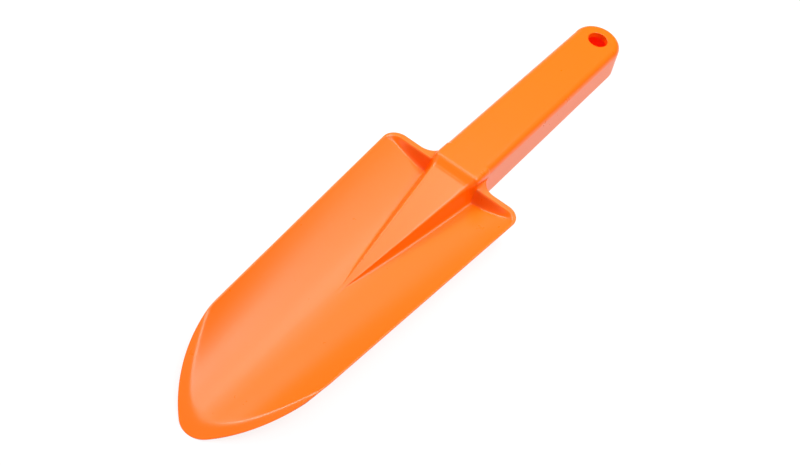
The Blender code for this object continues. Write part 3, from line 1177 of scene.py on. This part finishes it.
@dataclass(frozen=True)
class SatinPlastic:
    """Orange plastic with the fine, even satin of a moulded tool."""

    name: str = "satin_orange_plastic"
    colour: Colour = (0.96, 0.148, 0.0)
    deeper: Colour = (0.95, 0.140, 0.0)
    roughness: float = 0.28
    roughness_spread: float = 0.03
    ior: float = 1.5
    shine: float = 0.36
    flow_scale: float = 24.0
    flow_detail: float = 3.0
    cloud_scale: float = 168.0
    cloud_detail: float = 4.0
    cloud_roughness: float = 0.6
    grain_scale: float = 2600.0
    grain_detail: float = 2.0
    grain_height: float = 0.02 * MM
    grain_strength: float = 0.02

    def build(self) -> bpy.types.Material:
        """Make the material: faint flow marks, uneven gloss and a fine grain in its surface.

        Returns:
            The material.
        """
        graph = Graph(self.name)
        flow = graph.noise(self.flow_scale, self.flow_detail)
        grain = graph.noise(self.grain_scale, self.grain_detail)
        cloud = graph.noise(self.cloud_scale, self.cloud_detail, self.cloud_roughness)
        bump = graph.node(
            "ShaderNodeBump", Strength=self.grain_strength, Distance=self.grain_height, Height=grain
        )
        shader = graph.node(
            "ShaderNodeBsdfPrincipled",
            Base_Color=graph.blended(flow, self.colour, self.deeper),
            Roughness=self.roughness - self.roughness_spread / 2 + cloud * self.roughness_spread,
            Normal=graph.wire(bump),
        )
        shader.inputs["IOR"].default_value = self.ior
        shader.inputs["Specular IOR Level"].default_value = self.shine
        return graph.finish(shader)


@dataclass(frozen=True)
class GlowingPaper:
    """Dull paper that gives off light, for the studio's sheets."""

    name: str
    glow: Colour
    colour: Colour = (0.12, 0.12, 0.12)
    roughness: float = 0.8
    strength: float = 0.86

    def build(self) -> bpy.types.Material:
        """Make the material.

        Returns:
            The material.
        """
        graph = Graph(self.name)
        shader = graph.node(
            "ShaderNodeBsdfPrincipled",
            Base_Color=(*self.colour, 1.0),
            Roughness=self.roughness,
            Emission_Color=(*self.glow, 1.0),
        )
        shader.inputs["Emission Strength"].default_value = self.strength
        return graph.finish(shader)


@dataclass(frozen=True)
class Lamp:
    """A soft rectangular light.

    Attributes:
        name: The lamp's name.
        way: Azimuth and elevation of the lamp seen from the point that it faces, in degrees.
        size: Its two sides.
        brightness: How bright its face is, where 1 is the brightness of plain white.
        aim: The point on the table that it faces.
        distance: How far off that point it stands.
    """

    name: str
    way: Pair
    size: Pair
    brightness: float
    aim: Pair = (0.0, 0.0)
    distance: float = 1.0

    def build(self) -> None:
        """Hang the lamp, turned to the point that it faces."""
        azimuth, elevation = map(math.radians, self.way)
        level = math.cos(elevation)
        toward = Vector(
            (level * math.cos(azimuth), level * math.sin(azimuth), math.sin(elevation))
        )
        data = bpy.data.lights.new(self.name, "AREA")
        data.shape = "RECTANGLE"
        data.size, data.size_y = self.size
        data.energy = self.brightness * 4 * self.size[0] * self.size[1]
        lamp = bpy.data.objects.new(self.name, data)
        lamp.location = Vector((*self.aim, 0.0)) + toward * self.distance
        lamp.rotation_euler = (-toward).to_track_quat("-Z", "Y").to_euler()
        bpy.context.scene.collection.objects.link(lamp)


@dataclass
class Studio:
    """A plain white table, soft light all round, and the camera where the photograph was taken."""

    camera_place: tuple[float, float, float] = (0.74191, 0.27939, 0.81995)
    camera_turn: tuple[float, float, float] = (42.228, -13.295, 125.0923)
    lens: float = 135.0
    sensor: float = 36.0
    farthest: float = 20.0
    surround: float = 0.2
    table_reach: float = 4.0
    table_height: float = -0.05 * MM
    # painted light: a glowing red card under the handle stands in for light through the plastic and
    # for the shade beneath the handle
    card_middle: float = -86.25 * MM
    card_reach: float = 43.65 * MM
    card_radius: float = 8.6 * MM
    card_steps: int = 64
    card_height: float = -0.025 * MM
    painted_glow_colour: Colour = (1.3, 0.03, 0.0)
    lamps: tuple[Lamp, ...] = (
        Lamp("overhead", (120.0, 68.0), (0.62, 0.62), 4.4),
        Lamp("left_low", (256.0, 46.0), (0.42, 0.38), 9.6),
        Lamp("left_front", (350.0, 26.0), (0.45, 0.4), 1.1),
        Lamp("back_high", (205.0, 59.0), (0.44, 0.4), 2.2),
        Lamp("top_small", (238.0, 72.0), (0.12, 0.12), 4.0),
        Lamp("back_right", (225.0, 34.0), (0.4, 0.4), 0.7),
        Lamp("streak_near", (165.4, 60.0), (0.34, 0.13), 2.6, (0.06, 0.0), 0.5),
        Lamp("streak_far", (163.0, 48.0), (0.38, 0.12), 1.7, (0.06, 0.0), 0.5),
    )

    def build(self) -> None:
        """Set the table, the lights and the camera."""
        self.build_table()
        self.build_painted_channel_glow()
        self.build_surround()
        for lamp in self.lamps:
            lamp.build()
        self.build_camera()

    def build_sheet(self, name: str, outline: list[Pair], height: float, glow: Colour) -> None:
        """A level sheet of glowing paper, which belongs to the studio.

        Args:
            name: The sheet's name.
            outline: Its corners in order.
            height: How high it lies.
            glow: Colour of the light that it gives off, where 1 is plain white.
        """
        bm = bmesh.new()
        bm.faces.new([bm.verts.new((x, y, height)) for x, y in outline])
        sheet = finished(bm, name)
        sheet.data.materials.append(GlowingPaper(f"{name}_paper", glow).build())

    def build_table(self) -> None:
        """A wide white table, just under the trowel's lowest point."""
        reach = self.table_reach
        corners = [(-reach, -reach), (reach, -reach), (reach, reach), (-reach, reach)]
        self.build_sheet("table", corners, self.table_height, (1.0, 1.0, 1.0))

    def build_painted_channel_glow(self) -> None:
        """A round-ended red card on the table, inside the foot of the handle's channel.

        The hanging hole looks red, probably because light comes through the plastic. The card's red
        glow is painted light that stands in for it, and the card keeps the table's white glow out
        from under the handle, where there is shade.
        """
        outline = []
        for step in range(self.card_steps):
            turn = math.tau * (step + 0.5) / self.card_steps
            reach = math.copysign(self.card_reach, math.cos(turn))
            along = self.card_radius * math.cos(turn) + reach
            outline.append((self.card_middle + along, self.card_radius * math.sin(turn)))
        self.build_sheet("painted_glow_card", outline, self.card_height, self.painted_glow_colour)

    def build_surround(self) -> None:
        """Even white light from everywhere."""
        world = bpy.data.worlds.new("white_surround")
        world.use_nodes = True
        background = world.node_tree.nodes["Background"]
        background.inputs["Color"].default_value = (1.0, 1.0, 1.0, 1.0)
        background.inputs["Strength"].default_value = self.surround
        bpy.context.scene.world = world
        bpy.context.scene.view_settings.view_transform = "Standard"

    def build_camera(self) -> None:
        """The camera, at the place and angles that the photograph's outline gives."""
        data = bpy.data.cameras.new("camera")
        data.sensor_width = self.sensor
        data.lens = self.lens
        data.clip_end = self.farthest
        camera = bpy.data.objects.new("camera", data)
        camera.location = self.camera_place
        camera.rotation_euler = tuple(math.radians(turn) for turn in self.camera_turn)
        bpy.context.scene.collection.objects.link(camera)
        bpy.context.scene.camera = camera


def main() -> None:
    """Build every piece in order."""
    logging.basicConfig(level=logging.INFO, format="%(name)s: %(message)s", stream=sys.stdout)
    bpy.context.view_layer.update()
    plastic = SatinPlastic().build()
    moulding = Moulding()
    skin = moulding.build()
    skin.data.materials.append(plastic)
    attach(skin, "root")
    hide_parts("blade", "neck_wedge", "handle_shell")
    LOG.info("%s: %d faces", skin.name, len(skin.data.polygons))
    ribs = ChannelRibs(moulding).build()
    ribs.data.materials.append(plastic)
    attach(ribs, "root")
    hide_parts("cross_rib_1", "cross_rib_2", "cross_rib_3")
    LOG.info("%s: %d faces", ribs.name, len(ribs.data.polygons))
    Studio().build()


if __name__ == "__main__":
    main()
